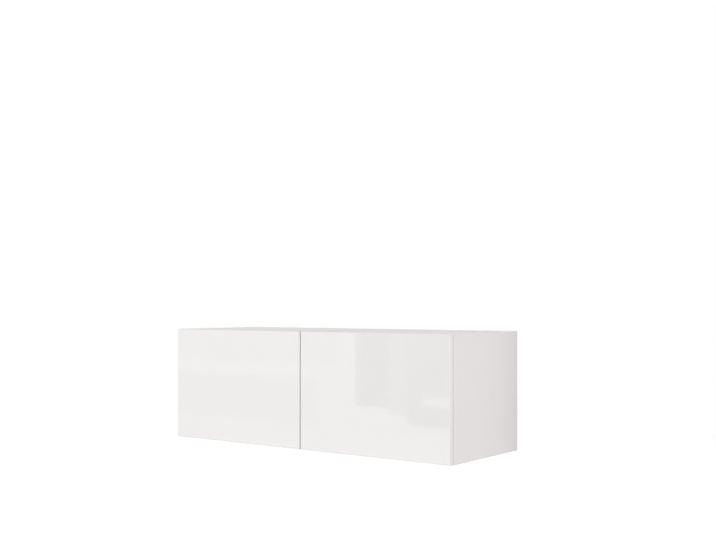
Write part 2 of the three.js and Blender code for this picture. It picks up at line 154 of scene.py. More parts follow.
# The sink in a strike as a share of its radius, and its floor as a share of its thickness
SINK_SHARE = 0.35
SINK_FLOOR = 1 / 3
# The rounding of a hinge cup's edges as a share of that of other steel
CUP_SOFTNESS = 0.6
# How much of its half width the round end of a strap, and of an adjusting slot, takes
STRAP_END = 0.999
SLOT_END = 1 / 1.01

# The depths in the back panel between which its paint gives way to raw fibre
PAINT_DEPTHS = (0.0002, 0.0004)
NOISE_MEAN = 0.5
WHITE = (1, 1, 1, 1)

# Soft lamps: where each stands, its side in metres, its power in watts and whether gloss shows it
LAMPS = {
    "key_lamp": {"place": (-0.4, -4.3, 1.55), "size": 2.4, "power": 69.0, "in_gloss": True},
    "side_lamp": {"place": (3.3, -0.6, 0.45), "size": 1.4, "power": 25.5, "in_gloss": False},
    "left_lamp": {"place": (-3.3, -0.3, 0.9), "size": 1.4, "power": 22.0, "in_gloss": False},
    "rear_lamp": {"place": (-1.5, 3.2, 1.6), "size": 2.0, "power": 8.0, "in_gloss": False},
}
# Upright panels far in front, seen only in the gloss of the fronts: where each stands, and its tone
PANELS = {
    "dark_panel_left": {"across": (-1.98, -1.70), "up": (-0.50, 0.9), "depth": -3.20, "tone": 0.18},
    "grey_panel": {"across": (-1.70, -1.56), "up": (-0.54, 0.9), "depth": -3.20, "tone": 0.42},
    "dark_panel_right": {"across": (-1.56, -1.16), "up": (-0.60, 0.9), "depth": -3.20, "tone": 0.25},
    "light_panel": {"across": (-1.42, -1.16), "up": (-0.47, -0.41), "depth": -3.18, "tone": 0.85},
    "low_panel": {"across": (-4.6, -2.30), "up": (-0.64, -0.33), "depth": -3.20, "tone": 0.78},
    "high_panel": {"across": (-4.6, -2.10), "up": (-0.24, 1.2), "depth": -3.20, "tone": 0.82},
}
# Grey panels beside the rear, which only take some soft light off the sides towards the wall
FLAGS = {
    "left_flag": {"across": (-0.69, -0.57), "up": (-0.42, 0.4), "depth": 0.02, "tone": 0.28},
    "right_flag": {"across": (0.57, 0.69), "up": (-0.42, 0.4), "depth": 0.02, "tone": 0.28},
}
# The floor's own tone and roughness, and how far from its middle its fade to plain white begins and ends
FLOOR_TONE = 0.8
FLOOR_ROUGHNESS = 0.9
FLOOR_FADE = (1.4, 3.6)


# Sizes and colours that can be changed

def length(name, description, default):
    return FloatProperty(name=name, description=description, default=default, unit="LENGTH")


def colour(name, description, default):
    return FloatVectorProperty(name=name, description=description, default=default, subtype="COLOR")


class ConsoleSizes(bpy.types.PropertyGroup):
    """Sizes of the boards, fronts and fittings that the construction leaves to the finish"""

    front_radius: length("Front radius", "Rounding of a front's outer edges", 0.002)
    lower_radius: length("Lower back radius", "Rounding that lets a flap turn", 0.0039)
    back_radius: length("Back radius", "Rounding of a front's back edges", 0.0008)
    band: length("Edge band", "Thickness of the boards' edge bands", 0.0008)
    band_radius: length("Band radius", "Rounding of the edge bands", 0.0002)
    fit: length("Fit", "Clearance between a piece and its recess", 0.0003)
    metal_radius: length("Metal radius", "Rounding of stamped steel edges", 0.0003)
    cup_width: length("Cup width", "Width of a hinge cup without its flange", 0.042)
    cup_corner: length("Cup corner", "Corner radius of cup and flange", 0.003)
    cup_wall: length("Cup wall", "Wall of a hinge cup", 0.0008)
    flange: length("Flange", "Thickness of a hinge cup's flange", 0.001)
    eye_width: length("Eye width", "Width of a hinge arm's neck and eye", 0.012)
    lug: length("Lug", "Thickness of the lugs that hold a hinge pin", 0.002)
    arm_corner: length("Arm corner", "Outer bend of a hinge arm", 0.002)
    adjust_slot: length("Adjusting slot", "Half length of the slot in a hinge arm", 0.0035)
    plate_corner: length("Plate corner", "Corner radius of a hinge's mounting plate", 0.004)
    plate_screw_inset: length("Plate screw inset", "From a mounting plate's end to its screw", 0.013)
    screw_radius: length("Screw radius", "Head radius of the fittings' screws", 0.0032)
    screw_height: length("Screw height", "Height of a pan head", 0.0014)
    stay_sheet: length("Stay sheet", "Steel sheet of a stay's plate, lug and rivet", 0.002)
    stay_corner: length("Stay corner", "Corner radius of a stay's plate and foot", 0.005)
    stay_arm: length("Stay arm", "Half width of a stay's arm", 0.007)
    stay_pin: length("Stay pin", "Radius of the rivet that an arm turns on", 0.0025)
    stay_head: length("Stay head", "Radius of that rivet's head", 0.0045)
    stay_screw_inset: length("Stay screw inset", "From the end of a plate or foot to its screw", 0.0065)
    stud: length("Stud", "Radius of the stud that an arm slides over", 0.003)
    stud_shoulder: length("Stud shoulder", "Radius of the stud's shoulder", 0.0055)
    slot_gap: length("Slot gap", "Clearance of the stud in its slot", 0.0004)
    slot_room: length("Slot room", "Spare slot past the stud at rest", 0.004)
    latch_corner: length("Latch corner", "Lower corner radius of a latch housing", 0.002)
    plunger_tip: length("Plunger tip", "Chamfer of a latch plunger", 0.001)
    plunger_room: length("Plunger room", "Bore behind a pressed plunger", 0.0025)
    rail_sheet: length("Rail sheet", "Steel sheet of the wall rail", 0.002)
    rail_hole: length("Rail hole", "Radius of the rail's screw holes", 0.004)
    hanger_well: length("Hanger well", "Depth of the adjusting screws in a hanger", 0.008)
    hook_finger: length("Hook finger", "Thickness of a hook's finger", 0.003)
    hook_height: length("Hook height", "Height of a hook's blade", 0.012)
    cover_wall: length("Cover wall", "Wall of a hanger's cover", 0.0015)
    cover_radius: length("Cover radius", "Rounding of a hanger's cover", 0.002)
    outlet_lip: length("Outlet lip", "How far a cable outlet's rim laps the panel", 0.0048)
    outlet_wall: length("Outlet wall", "Wall of a cable outlet's sleeve", 0.0017)


class ConsoleColours(bpy.types.PropertyGroup):
    """Colours of the finishes"""

    lacquer: colour("Lacquer", "High-gloss fronts", (0.835, 0.821, 0.815))
    # Darker than the lacquer: a real edge band's tone that also paints shade along the fronts' rounded
    # rims
    front_edge: colour("Front edge", "Narrow edges of the fronts", (0.79, 0.765, 0.755))
    laminate: colour("Laminate", "Boards of the carcass", (0.80, 0.763, 0.76))
    fibre: colour("Fibre", "Raw rear of the back panel", (0.42, 0.27, 0.16))
    chipboard: colour("Chipboard", "Bare rear edges of the boards", (0.56, 0.43, 0.29))
    steel: colour("Steel", "Nickel-plated steel", (0.62, 0.61, 0.59))
    zinc: colour("Zinc", "Die-cast zinc and galvanised steel", (0.56, 0.57, 0.58))
    white_plastic: colour("White plastic", "Covers and outlets", (0.78, 0.77, 0.75))
    grey_plastic: colour("Grey plastic", "Latch and hanger housings", (0.32, 0.33, 0.34))
    clear: colour("Clear", "Soft bumpers", (0.85, 0.86, 0.85))


class ConsoleStage(bpy.types.PropertyGroup):
    """Floor, room light and the camera's place"""

    floor_drop: length("Floor drop", "Free height under the console", 0.35)
    floor_size: length("Floor size", "Side of the floor", 16.0)
    floor_glow: FloatProperty(
        name="Floor glow", description="Light that the floor seems to give near the console", default=0.4
    )
    ambient: FloatProperty(name="Ambient", description="Strength of the soft room light", default=0.62)
    camera_place: FloatVectorProperty(
        name="Camera place", description="Where the camera stands",
        default=(2.104, -2.795, 0.155), unit="LENGTH",
    )
    camera_turn: FloatProperty(
        name="Camera turn", description="Turn of the camera to the left of the wall's normal",
        default=math.radians(35.74), unit="ROTATION",
    )


# Selecting and placing

def deselect_all():
    bpy.ops.object.select_all(action="DESELECT")


def select_only(piece):
    deselect_all()
    piece.select_set(True)
    bpy.context.view_layer.objects.active = piece


def named(name):
    """The object that was added last, under its name"""
    piece = bpy.context.object
    piece.name = name
    return piece


def settle(piece):
    """Applies the object's place, turn and scale to its mesh"""
    select_only(piece)
    bpy.ops.object.transform_apply(location=True, rotation=True, scale=True)
    return piece


@contextmanager
def editing(piece, kind="EDGE"):
    """Edit mode on one piece, with nothing selected at first"""
    select_only(piece)
    bpy.ops.object.mode_set(mode="EDIT")
    bpy.ops.mesh.select_mode(type=kind)
    bpy.ops.mesh.select_all(action="DESELECT")
    yield bmesh.from_edit_mesh(piece.data)
    bpy.ops.object.mode_set(mode="OBJECT")


def grown(box, margin):
    """A box of two corners, larger all round by a margin"""
    low, high = box
    step = Vector((margin, margin, margin))
    return low - step, high + step


def middle_of(node):
    low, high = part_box(node)
    return (low + high) / 2


# Ways to pick edges by their middle and direction, or faces by their middle and normal

def on_plane(axis, place):
    """Edges on a plane across an axis"""
    return lambda middle, way: abs(middle["XYZ".index(axis)] - place) < NEAR


def on_lines(*places):
    """Edges along X through places in (y, z)"""
    return lambda middle, way: abs(way.x) > ALONG and any(
        abs(middle.y - y) + abs(middle.z - z) < NEAR for y, z in places
    )


def facing_back(place):
    """Faces that lie at a depth and face the wall"""
    return lambda middle, normal: normal.y > SQUARE and abs(middle.y - place) < NEAR


def round_rim(low, high, radius):
    """Faces round the outline of a front, all but those square to the front and back"""
    return lambda middle, normal: abs(normal.y) < SQUARE and radius > min(
        abs(middle[axis] - corner[axis]) for axis in (0, 2) for corner in (low, high)
    )


# Primitives and the edits on them

def add_block(name, low, high, along="", radius=0.0, steps=6):
    """A cube between two corners, with the four edges along one axis rounded"""
    low, high = Vector(low), Vector(high)
    deselect_all()
    bpy.ops.mesh.primitive_cube_add(size=1.0, location=(low + high) / 2, scale=high - low)
    block = settle(named(name))
    if radius:
        round_edges(block, radius, lambda middle, way: abs(way.dot(AXES[along])) > ALONG, steps)
    return block


def add_disc(name, centre, axis, radius, start, end, steps=ROUND):
    """A cylinder along an axis between two places on it; centre gives the other two coordinates"""
    place = Vector(centre)
    place["XYZ".index(axis)] = (start + end) / 2
    turn = {"X": (0, math.pi / 2, 0), "Y": (math.pi / 2, 0, 0), "Z": (0, 0, 0)}[axis]
    deselect_all()
    bpy.ops.mesh.primitive_cylinder_add(
        vertices=steps, radius=radius, depth=abs(end - start), location=place, rotation=turn
    )
    return settle(named(name))


def round_edges(piece, radius, wanted, steps):
    """Bevels the edges for which wanted(middle, direction) holds"""
    with editing(piece) as mesh:
        for edge in mesh.edges:
            start, end = (vertex.co for vertex in edge.verts)
            edge.select_set(wanted((start + end) / 2, (end - start).normalized()))
        bmesh.update_edit_mesh(piece.data)
        bpy.ops.mesh.bevel(offset=radius, segments=steps, affect="EDGES", clamp_overlap=True)


@contextmanager
def drawing(name, points):
    """A new piece in edit mode: a chain of edges, extruded from point to point and then selected"""
    deselect_all()
    bpy.ops.mesh.primitive_plane_add(size=1.0, location=(0, 0, 0))
    piece = named(name)
    with editing(piece, "VERT"):
        bpy.ops.mesh.select_all(action="SELECT")
        bpy.ops.mesh.merge(type="CENTER")
        bpy.ops.transform.translate(value=points[0])
        for start, end in zip(points, points[1:]):
            bpy.ops.mesh.extrude_region_move(TRANSFORM_OT_translate={"value": end - start})
        bpy.ops.mesh.select_all(action="SELECT")
        yield piece


def turn_profile(name, profile, centre, steps=ROUND):
    """Spins an outline of (radius, y) points round the line along Y through centre"""
    with drawing(name, [Vector((radius, 0, place)) for radius, place in profile]) as piece:
        bpy.ops.mesh.spin(steps=steps, angle=2 * math.pi, center=(0, 0, 0), axis=(0, 0, 1))
        bpy.ops.mesh.select_all(action="SELECT")
        bpy.ops.mesh.remove_doubles(threshold=NEAR)
        bpy.ops.mesh.normals_make_consistent(inside=False)
    turn = AXES["Z"].rotation_difference(AXES["Y"]).to_matrix().to_4x4()
    piece.matrix_world = Matrix.Translation((centre.x, 0, centre.z)) @ turn
    return settle(piece)


def draw_outline(name, points, start, end):
    """A closed outline of (y, z) points, drawn at start and extruded to end along X"""
    with drawing(name, [Vector((start, y, z)) for y, z in points]) as piece:
        bpy.ops.mesh.edge_face_add()
        bpy.ops.mesh.extrude_region_move(TRANSFORM_OT_translate={"value": (end - start, 0, 0)})
        bpy.ops.mesh.select_all(action="SELECT")
        bpy.ops.mesh.normals_make_consistent(inside=False)
    return settle(piece)


def modify(piece, kind, **settings):
    """Adds a modifier with its settings, and applies it"""
    select_only(piece)
    bpy.ops.object.modifier_add(type=kind)
    modifier = piece.modifiers[-1]
    for key, value in settings.items():
        setattr(modifier, key, value)
    bpy.ops.object.modifier_apply(modifier=modifier.name)
    return piece


def combine(piece, operation, others):
    """Joins other pieces to one, or cuts them out of it"""
    for other in others:
        modify(piece, "BOOLEAN", operation=operation, solver="EXACT", object=other)
        bpy.data.objects.remove(other)
    return piece


def join(piece, *others):
    return combine(piece, "UNION", others)


def cut(piece, *cutters):
    return combine(piece, "DIFFERENCE", cutters)


def cut_cross(piece, radius, shares, bottom, top):
    """Cuts two crossed slots into the round face of a piece at the origin"""
    reach, half = (radius * share for share in shares)
    for x, y in ((reach, half), (half, reach)):
        cut(piece, add_block("slot", (-x, -y, bottom), (x, y, top)))


def lug_parts(foot, centre, radius, span):
    """A lug's block, from a foot in y up to its centre, and its round end, over a span of X"""
    block = add_block("lug", (span[0], foot, centre.z - radius), (span[1], centre.y, centre.z + radius))
    return block, add_disc("lug_end", centre, "X", radius, *span)


def soften(piece, radius, steps=2):
    """A small rounding on every sharp edge"""
    return modify(
        piece, "BEVEL", width=radius, segments=steps, limit_method="ANGLE", angle_limit=SHARP_ANGLE
    )


def smooth(piece):
    """Smooth shading on round stretches, with flat faces kept flat"""
    select_only(piece)
    bpy.ops.object.shade_smooth_by_angle(angle=CREASE_ANGLE)
    return modify(piece, "WEIGHTED_NORMAL", keep_sharp=True)


def take_mesh(piece):
    """Removes a modelled piece and keeps its mesh, from which the copies are made"""
    mesh = piece.data
    bpy.data.objects.remove(piece)
    return mesh


def add_copy(name, mesh, matrix):
    """A piece with its own copy of a mesh, moved in that mesh"""
    own = mesh.copy()
    own.transform(matrix)
    piece = bpy.data.objects.new(name, own)
    bpy.context.scene.collection.objects.link(piece)
    return piece


def scattered(number, first, step):
    """A turn about Z that differs from one fastener to the next"""
    return Matrix.Rotation(math.radians(first + step * number), 4, "Z")


def dress(piece, node, finish, stands_for=True):
    """Gives a piece its finish and lets it ride with the node that it finishes"""
    piece.data.name = piece.name
    piece.data.materials.clear()
    piece.data.materials.append(finish_of(finish))
    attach(piece, frame["nodes"][node]["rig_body"])
    if stands_for:
        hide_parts(node)


def give_faces(piece, finish, wanted):
    """Gives the faces for which wanted(middle, normal) holds a finish of their own"""
    piece.data.materials.append(finish_of(finish))
    with editing(piece, "FACE") as mesh:
        for face in mesh.faces:
            face.select_set(wanted(face.calc_center_median(), face.normal))
        bmesh.update_edit_mesh(piece.data)
        piece.active_material_index = len(piece.data.materials) - 1
        bpy.ops.object.material_slot_assign()


def coat(node, material):
    """Puts a material on a node of the construction that stays in sight"""
    slots = frame["nodes"][node].data.materials
    slots.clear()
    slots.append(material)


# Node groups that several finishes share

def set_node(node, **settings):
    """Sets up a node; a setting that names an input sets that input"""
    for key, value in settings.items():
        label = key.replace("_", " ").title().replace("Ior", "IOR")
        if label in node.inputs:
            node.inputs[label].default_value = value
        else:
            setattr(node, key, value)
    return node


def add_node(tree, kind, **settings):
    return set_node(tree.nodes.new(kind), **settings)


def wire(tree, *links):
    """Links nodes; each link is a node, its output, another node and its input"""
    for start, output, end, entry in links:
        tree.links.new(start.outputs[output], end.inputs[entry])


def new_group(name, inputs, outputs):
    """A shader group with named sockets; inputs are (name, kind, default)"""
    group = bpy.data.node_groups.new(name, "ShaderNodeTree")
    for label, kind, default in inputs:
        socket = group.interface.new_socket(name=label, in_out="INPUT", socket_type=f"NodeSocket{kind}")
        socket.default_value = default
    for label, kind in outputs:
        group.interface.new_socket(name=label, in_out="OUTPUT", socket_type=f"NodeSocket{kind}")
    return group, add_node(group, "NodeGroupInput"), add_node(group, "NodeGroupOutput")


def tint_group():
    """Blends two colours in wide soft patches"""
    if "Soft tint" in bpy.data.node_groups:
        return bpy.data.node_groups["Soft tint"]
    group, start, end = new_group(
        "Soft tint",
        [("Colour", "Color", WHITE), ("Shade", "Color", WHITE), ("Scale", "Float", 3.0)],
        [("Colour", "Color")],
    )
    place = add_node(group, "ShaderNodeTexCoord")
    cloud = add_node(group, "ShaderNodeTexNoise", detail=3.0, roughness=0.5)
    ramp = add_node(group, "ShaderNodeMapRange", from_min=0.35, from_max=0.65)
    blend = add_node(group, "ShaderNodeMix", data_type="RGBA")
    wire(
        group,
        (place, "Object", cloud, "Vector"), (start, "Scale", cloud, "Scale"),
        (cloud, "Fac", ramp, "Value"), (ramp, "Result", blend, "Factor"),
        (start, "Colour", blend, "A"), (start, "Shade", blend, "B"),
        (blend, "Result", end, "Colour"),
    )
    return group


def grain_group():
    """Fine relief and a matching change of roughness; Stretch draws the grain out along one axis"""
    if "Fine grain" in bpy.data.node_groups:
        return bpy.data.node_groups["Fine grain"]
    group, start, end = new_group(
        "Fine grain",
        [
            ("Scale", "Float", 900.0), ("Stretch", "Vector", (1, 1, 1)),
            ("Roughness", "Float", 0.4), ("Spread", "Float", 0.05),
        ],
        [("Height", "Float"), ("Roughness", "Float")],
    )
    place = add_node(group, "ShaderNodeTexCoord")
    draw = add_node(group, "ShaderNodeVectorMath", operation="MULTIPLY")
    fine = add_node(group, "ShaderNodeTexNoise", detail=4.0, roughness=0.6)
    offset = add_node(group, "ShaderNodeMath", operation="SUBTRACT")
    offset.inputs[1].default_value = NOISE_MEAN
    spread = add_node(group, "ShaderNodeMath", operation="MULTIPLY_ADD")
    wire(
        group,
        (place, "Object", draw, 0), (start, "Stretch", draw, 1),
        (draw, "Vector", fine, "Vector"), (start, "Scale", fine, "Scale"),
        (fine, "Fac", offset, 0), (offset, "Value", spread, 0),
        (start, "Spread", spread, 1), (start, "Roughness", spread, 2),
        (fine, "Fac", end, "Height"), (spread, "Value", end, "Roughness"),
    )
    return group


# Finishes, by the names of their materials; each names its colour

FINISHES = {
    # A nearly flat clear coat over a warm white
    "High-gloss lacquer": dict(
        paint="lacquer", shade=0.992, tint_scale=2.0, grain=60.0, roughness=0.06, spread=0.03,
        relief=0.000003, coat_weight=1.0, coat_roughness=0.015,
    ),
    # The fronts' narrow edges: a half-matt band, its tone darker than the lacquer as painted shade along
    # the rounded rims
    "Half-matt edge": dict(
        paint="front_edge", shade=0.985, tint_scale=8.0, grain=600.0, roughness=0.4, spread=0.08,
        relief=0.00001, specular_ior_level=0.35,
    ),
    # Melamine with its fine pearl
    "Matt laminate": dict(
        paint="laminate", shade=0.985, tint_scale=4.0, grain=1400.0, roughness=0.52, spread=0.12,
        relief=0.00002, specular_ior_level=0.35,
    ),
    # A touch smoother and whiter than the laminate
    "Edge band": dict(
        paint="laminate", lift=1.02, shade=0.985, tint_scale=8.0, grain=700.0, roughness=0.44,
        spread=0.08, relief=0.00001, specular_ior_level=0.35,
    ),
    # Thin board, painted in front; its rear gets its fibre from hardboard_finish
    "Painted hardboard": dict(
        paint="laminate", shade=0.98, tint_scale=5.0, grain=500.0, roughness=0.55, spread=0.15,
        relief=0.00004,
    ),
    # The boards' rear edges against the wall
    "Bare chipboard": dict(
        paint="chipboard", shade=0.55, tint_scale=420.0, grain=900.0, stretch=(0.4, 1, 0.4),
        roughness=0.8, spread=0.2, relief=0.0001,
    ),
    # Brushed along the console
    "Nickel-plated steel": dict(
        paint="steel", shade=0.9, tint_scale=40.0, grain=500.0, stretch=(0.1, 1, 1),
        roughness=0.28, spread=0.14, relief=0.00001, metallic=1.0,
    ),
    # A faint cast skin
    "Cast zinc": dict(
        paint="zinc", shade=0.88, tint_scale=90.0, grain=1200.0, roughness=0.36, spread=0.16,
        relief=0.00002, metallic=1.0,
    ),
    # Patches of crystals
    "Galvanised steel": dict(
        paint="zinc", shade=0.72, tint_scale=75.0, grain=300.0, roughness=0.34, spread=0.2,
        relief=0.00001, metallic=1.0,
    ),
    # Moulded with a fine eroded skin
    "White plastic": dict(
        paint="white_plastic", shade=0.96, tint_scale=30.0, grain=1500.0, roughness=0.42, spread=0.1,
        relief=0.00002,
    ),
    "Grey plastic": dict(
        paint="grey_plastic", shade=0.96, tint_scale=30.0, grain=1500.0, roughness=0.42, spread=0.1,
        relief=0.00002,
    ),
    # Soft and clear
    "Clear pad": dict(
        paint="clear", shade=0.96, tint_scale=200.0, grain=800.0, roughness=0.22, spread=0.05,
        relief=0.00001, transmission_weight=0.7, ior=1.45,
    ),
}
# The dark patches and the scale of the raw fibre
FIBRE_SHADE = 0.78
FIBRE_SCALE = 520.0


def new_material(name):
    material = bpy.data.materials.new(name)
    material.use_nodes = True
    return material, material.node_tree


def add_tint(tree, tone, shade, scale):
    """A tone that varies softly towards a darker shade of it"""
    dark = (channel * shade for channel in tone)
    return add_node(
        tree, "ShaderNodeGroup", node_tree=tint_group(), colour=(*tone, 1), shade=(*dark, 1), scale=scale
    )


def finish_of(name):
    """The material of a finish, made when it is first asked for"""
    if name in bpy.data.materials:
        return bpy.data.materials[name]
    return new_finish(name, **FINISHES[name])


def new_finish(name, paint, shade, tint_scale, grain, roughness, spread, relief,
               lift=1.0, stretch=(1, 1, 1), **shader):
    """A softly varied colour with a fine grain; shader sets sockets of the surface itself"""
    material, tree = new_material(name)
    tone = getattr(bpy.context.scene.console_colours, paint)
    tone = tuple(min(1.0, channel * lift) for channel in tone)
    surface = set_node(tree.nodes["Principled BSDF"], **shader)
    tint = add_tint(tree, tone, shade, tint_scale)
    fine = add_node(
        tree, "ShaderNodeGroup", node_tree=grain_group(),
        scale=grain, stretch=stretch, roughness=roughness, spread=spread,
    )
    bump = add_node(tree, "ShaderNodeBump", distance=relief, strength=1.0)
    wire(
        tree,
        (tint, "Colour", surface, "Base Color"), (fine, "Roughness", surface, "Roughness"),
        (fine, "Height", bump, "Height"), (bump, "Normal", surface, "Normal"),
    )
    return material


def hardboard_finish():
    """Thin board, painted white in front and raw fibre behind, told apart by its depth"""
    material = finish_of("Painted hardboard")
    tree = material.node_tree
    if "Rear" in tree.nodes:
        return material
    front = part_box("back_panel")[0].y
    surface = tree.nodes["Principled BSDF"]
    painted = surface.inputs["Base Color"].links[0].from_node
    raw = add_tint(tree, bpy.context.scene.console_colours.fibre, FIBRE_SHADE, FIBRE_SCALE)
    place = add_node(tree, "ShaderNodeTexCoord")
    apart = add_node(tree, "ShaderNodeSeparateXYZ")
    start, end = (front + depth for depth in PAINT_DEPTHS)
    behind = add_node(tree, "ShaderNodeMapRange", from_min=start, from_max=end)
    blend = add_node(tree, "ShaderNodeMix", name="Rear", data_type="RGBA")
    wire(
        tree,
        (place, "Object", apart, "Vector"), (apart, "Y", behind, "Value"),
        (behind, "Result", blend, "Factor"), (painted, "Colour", blend, "A"),
        (raw, "Colour", blend, "B"), (blend, "Result", surface, "Base Color"),
    )
    return material


# Boards of the carcass

EDGE_FACES = {"front": ("Y", -1), "top": ("Z", 1), "bottom": ("Z", -1)}
BANDED_EDGES = {
    "left_side_panel": ("front", "top", "bottom"),
    "right_side_panel": ("front", "top", "bottom"),
    "top_panel": ("front",),
    "bottom_panel": ("front",),
    "centre_divider": ("front",),
}
GROOVED = ("left_side_panel", "right_side_panel", "top_panel")
CAM_LOCKS = sorted(node for node in frame["nodes"] if node.startswith("cam_lock"))
# The word in the names of the cams that lie in a board
CAM_LEVELS = {"top_panel": "_top_", "bottom_panel": "_bottom_"}


def add_band(node, edge, low, high, sizes):
    """The edge band on one edge of a board; low and high are moved in to leave room for it"""
    axis, end = EDGE_FACES[edge]
    index = "XYZ".index(axis)
    outer = low[index] if end < 0 else high[index]
    strip_low, strip_high = low.copy(), high.copy()
    if end < 0:
        low[index] = strip_high[index] = outer + sizes.band
    else:
        high[index] = strip_low[index] = outer - sizes.band
    strip = add_block(f"{node}_{edge}_band", strip_low, strip_high)
    round_edges(strip, sizes.band_radius, on_plane(axis, outer), steps=3)
    dress(smooth(strip), node, "Edge band", stands_for=False)


def cam_bore(node, sizes):
    """The blind hole of one cam lock, from just outside the board's inner face"""
    low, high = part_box(node)
    start = low.z - (OVERRUN if "_top_" in node else sizes.fit)
    end = high.z + (sizes.fit if "_top_" in node else OVERRUN)
    return add_disc("cam_bore", (low + high) / 2, "Z", (high.x - low.x) / 2 + sizes.fit, start, end)


class CONSOLE_OT_boards(bpy.types.Operator):
    """Builds the five boards of the carcass with their edge bands, groove and bores"""

    bl_idname = "console.boards"
    bl_label = "Carcass boards"

    def execute(self, context):
        sizes = context.scene.console_sizes
        for node, edges in BANDED_EDGES.items():
            low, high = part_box(node)
            for edge in edges:
                add_band(node, edge, low, high, sizes)
            board = add_block(f"{node}_board", low, high)
            if node in GROOVED:
                cut(board, add_block("groove", *grown(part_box("back_panel"), sizes.fit)))
            if node in CAM_LEVELS:
                locks = [lock for lock in CAM_LOCKS if CAM_LEVELS[node] in lock]
                cut(board, *(cam_bore(lock, sizes) for lock in locks))
            dress(smooth(soften(board, sizes.band_radius, steps=1)), node, "Matt laminate")
            give_faces(board, "Bare chipboard", facing_back(high.y))
        return {"FINISHED"}


class CONSOLE_OT_cam_locks(bpy.types.Operator):
    """Builds the cams that hold the corners, with their cross slots"""

    bl_idname = "console.cam_locks"
    bl_label = "Cam locks"

    def execute(self, context):
        low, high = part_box(CAM_LOCKS[0])
        radius, depth = (high.x - low.x) / 2, high.z - low.z
        cam = add_disc("cam", (0, 0, 0), "Z", radius, -depth, 0)
        round_edges(cam, radius * CAM_RIM, on_plane("Z", 0), steps=2)
        cut(cam, add_disc("ring", (0, 0, 0), "Z", radius * CAM_RING, -depth * CAM_RING_DEPTH, OVERRUN))
        cut_cross(cam, radius, CAM_CROSS, -depth * CAM_CROSS_DEPTH, OVERRUN)
        mesh = take_mesh(smooth(cam))
        for number, node in enumerate(CAM_LOCKS):
            low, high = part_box(node)
            centre = (low + high) / 2
            centre.z = low.z if "_top_" in node else high.z
            facing = Matrix.Rotation(math.pi, 4, "X") if "_top_" in node else Matrix.Identity(4)
            place = Matrix.Translation(centre) @ facing @ scattered(number, *CAM_TURNS)
            dress(add_copy(f"{node}_disc", mesh, place), node, "Cast zinc")
        return {"FINISHED"}


# Screws, shared by the fittings

def screw_head(sizes):
    """The mesh of a pan head with a cross slot, its seat at the origin, facing +Z"""
    radius, height = sizes.screw_radius, sizes.screw_height
    head = add_disc("screw_head", (0, 0, 0), "Z", radius, 0, height, SMALL_ROUND)
    round_edges(head, height * HEAD_ROUNDING, on_plane("Z", height), steps=4)
    cut_cross(head, radius, SCREW_CROSS, height * HEAD_FLOOR, height + OVERRUN)
    return take_mesh(smooth(head))


def add_screws(head, node, seats, facing, first=0):
    """A node's screws on their seats, facing one way; first numbers the turn of the first slot"""
    aim = AXES["Z"].rotation_difference(facing).to_matrix().to_4x4()
    for index, seat in enumerate(seats):
        place = Matrix.Translation(seat) @ aim @ scattered(first + index, *SCREW_TURNS)
        screw = add_copy(f"{node}_screw_{index + 1}", head, place)
        dress(screw, node, "Cast zinc", stands_for=False)


# Back panel, cable outlets, rail and hangers

class CONSOLE_OT_back(bpy.types.Operator):
    """Finishes the back panel and builds its screws and the two cable outlets"""

    bl_idname = "console.back"
    bl_label = "Back panel and cable outlets"

    def execute(self, context):
        sizes = context.scene.console_sizes
        coat("back_panel", hardboard_finish())
        low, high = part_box("back_panel")
        for word in SIDES:
            self.add_outlet(f"{word}_cable_grommet", low.y, sizes)
        level = middle_of("bottom_panel").z
        seats = [(share * high.x, high.y, level) for share in BACK_SCREW_SHARES]
        add_screws(screw_head(sizes), "back_panel", seats, AXES["Y"])
        return {"FINISHED"}

    def add_outlet(self, node, front, sizes):
        low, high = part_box(node)
        rim = (high.x - low.x) / 2
        sleeve = rim - sizes.outlet_lip
        bore = sleeve - sizes.outlet_wall
        profile = [
            (bore, low.y), (rim, low.y), (rim, front), (sleeve, front),
            (sleeve, high.y), (bore, high.y), (bore, low.y),
        ]
        ring = turn_profile(f"{node}_ring", profile, (low + high) / 2)
        soften(ring, (front - low.y) * OUTLET_SHARE, steps=4)
        dress(smooth(ring), node, "White plastic")


class CONSOLE_OT_rail(bpy.types.Operator):
    """Builds the folded wall rail with its screw holes"""

    bl_idname = "console.rail"
    bl_label = "Wall rail"

    def execute(self, context):
        sizes = context.scene.console_sizes
        low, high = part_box("wall_rail")
        sheet, fold = sizes.rail_sheet, -low.z
        outline = [
            (high.y, low.z), (high.y, fold), (low.y + sheet, fold), (low.y + sheet, high.z),
            (low.y, high.z), (low.y, fold - sheet), (high.y - sheet, fold - sheet),
            (high.y - sheet, low.z),
        ]
        rail = draw_outline("wall_rail_profile", outline, low.x, high.x)
        folds = [outline[corner] for corner in (1, 2, 5, 6)]
        round_edges(rail, sheet * FOLD_SHARE, on_lines(*folds), steps=4)
        half = (high.x - low.x) / 2
        for share in RAIL_HOLE_SHARES:
            place = (share * half, 0, 0)
            cut(rail, add_disc("hole", place, "Y", sizes.rail_hole, -sheet - OVERRUN, OVERRUN))
        dress(smooth(soften(rail, sizes.metal_radius)), "wall_rail", "Galvanised steel")
        return {"FINISHED"}


